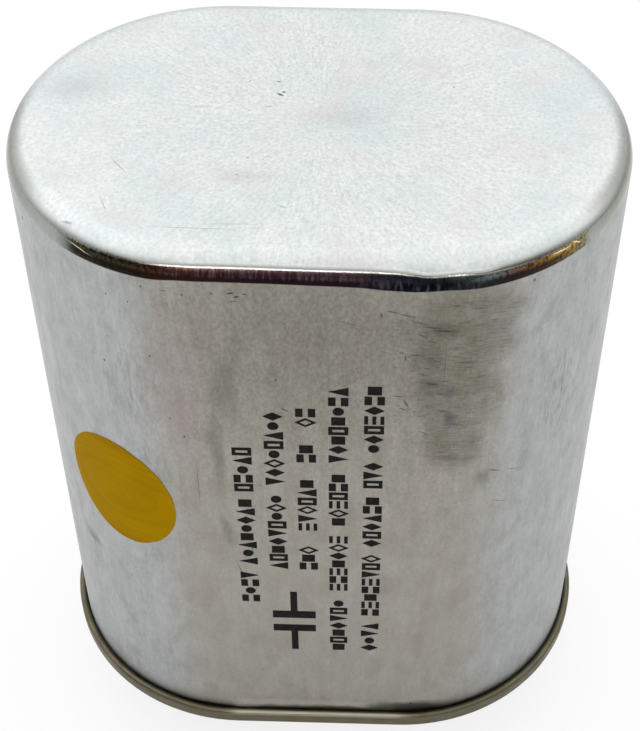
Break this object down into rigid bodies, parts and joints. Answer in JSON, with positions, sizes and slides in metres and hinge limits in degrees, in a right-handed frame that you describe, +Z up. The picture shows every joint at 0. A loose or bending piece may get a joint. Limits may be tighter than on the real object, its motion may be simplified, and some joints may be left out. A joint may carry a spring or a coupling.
{
  "type": "motor run capacitor",
  "caption": "Oval run capacitor in a drawn aluminium can, closed end up, with a steel cover double-seamed into the open end, riveted quick-connect blades and a yellow paint dot.",
  "frame": {"origin": "middle of the footprint, on the plane of the terminal blades' tips", "axes": "+Z up, out of the can's closed end; +X along the can's long sides; -Y out of the face that carries the print"},
  "size_m": [0.0738, 0.0516, 0.0979],
  "materials": {
    "drawn_aluminium": "satin, drawn, faintly streaked and mottled",
    "cover_steel": "dull tin-plated sheet, olive grey",
    "gasket_rubber": "matt moulded rubber",
    "phenolic": "moulded phenolic, dark brown",
    "tinned_brass": "tin-plated stamped sheet",
    "plated_steel": "zinc-plated, slightly domed heads",
    "yellow_paint": "satin ochre-yellow paint",
    "black_ink": null
  },
  "bodies": {
    "root": {"can": "drawn_aluminium", "cover": "cover_steel", "terminal_gasket_left": "gasket_rubber", "terminal_gasket_right": "gasket_rubber", "terminal_insulator_left": "phenolic", "terminal_insulator_right": "phenolic", "terminal_washer_left": "phenolic", "terminal_washer_right": "phenolic", "terminal_blades_left": "tinned_brass", "terminal_blades_right": "tinned_brass", "terminal_rivet_left": "plated_steel", "terminal_rivet_right": "plated_steel", "paint_dot": "yellow_paint"}
  },
  "joints": []
}
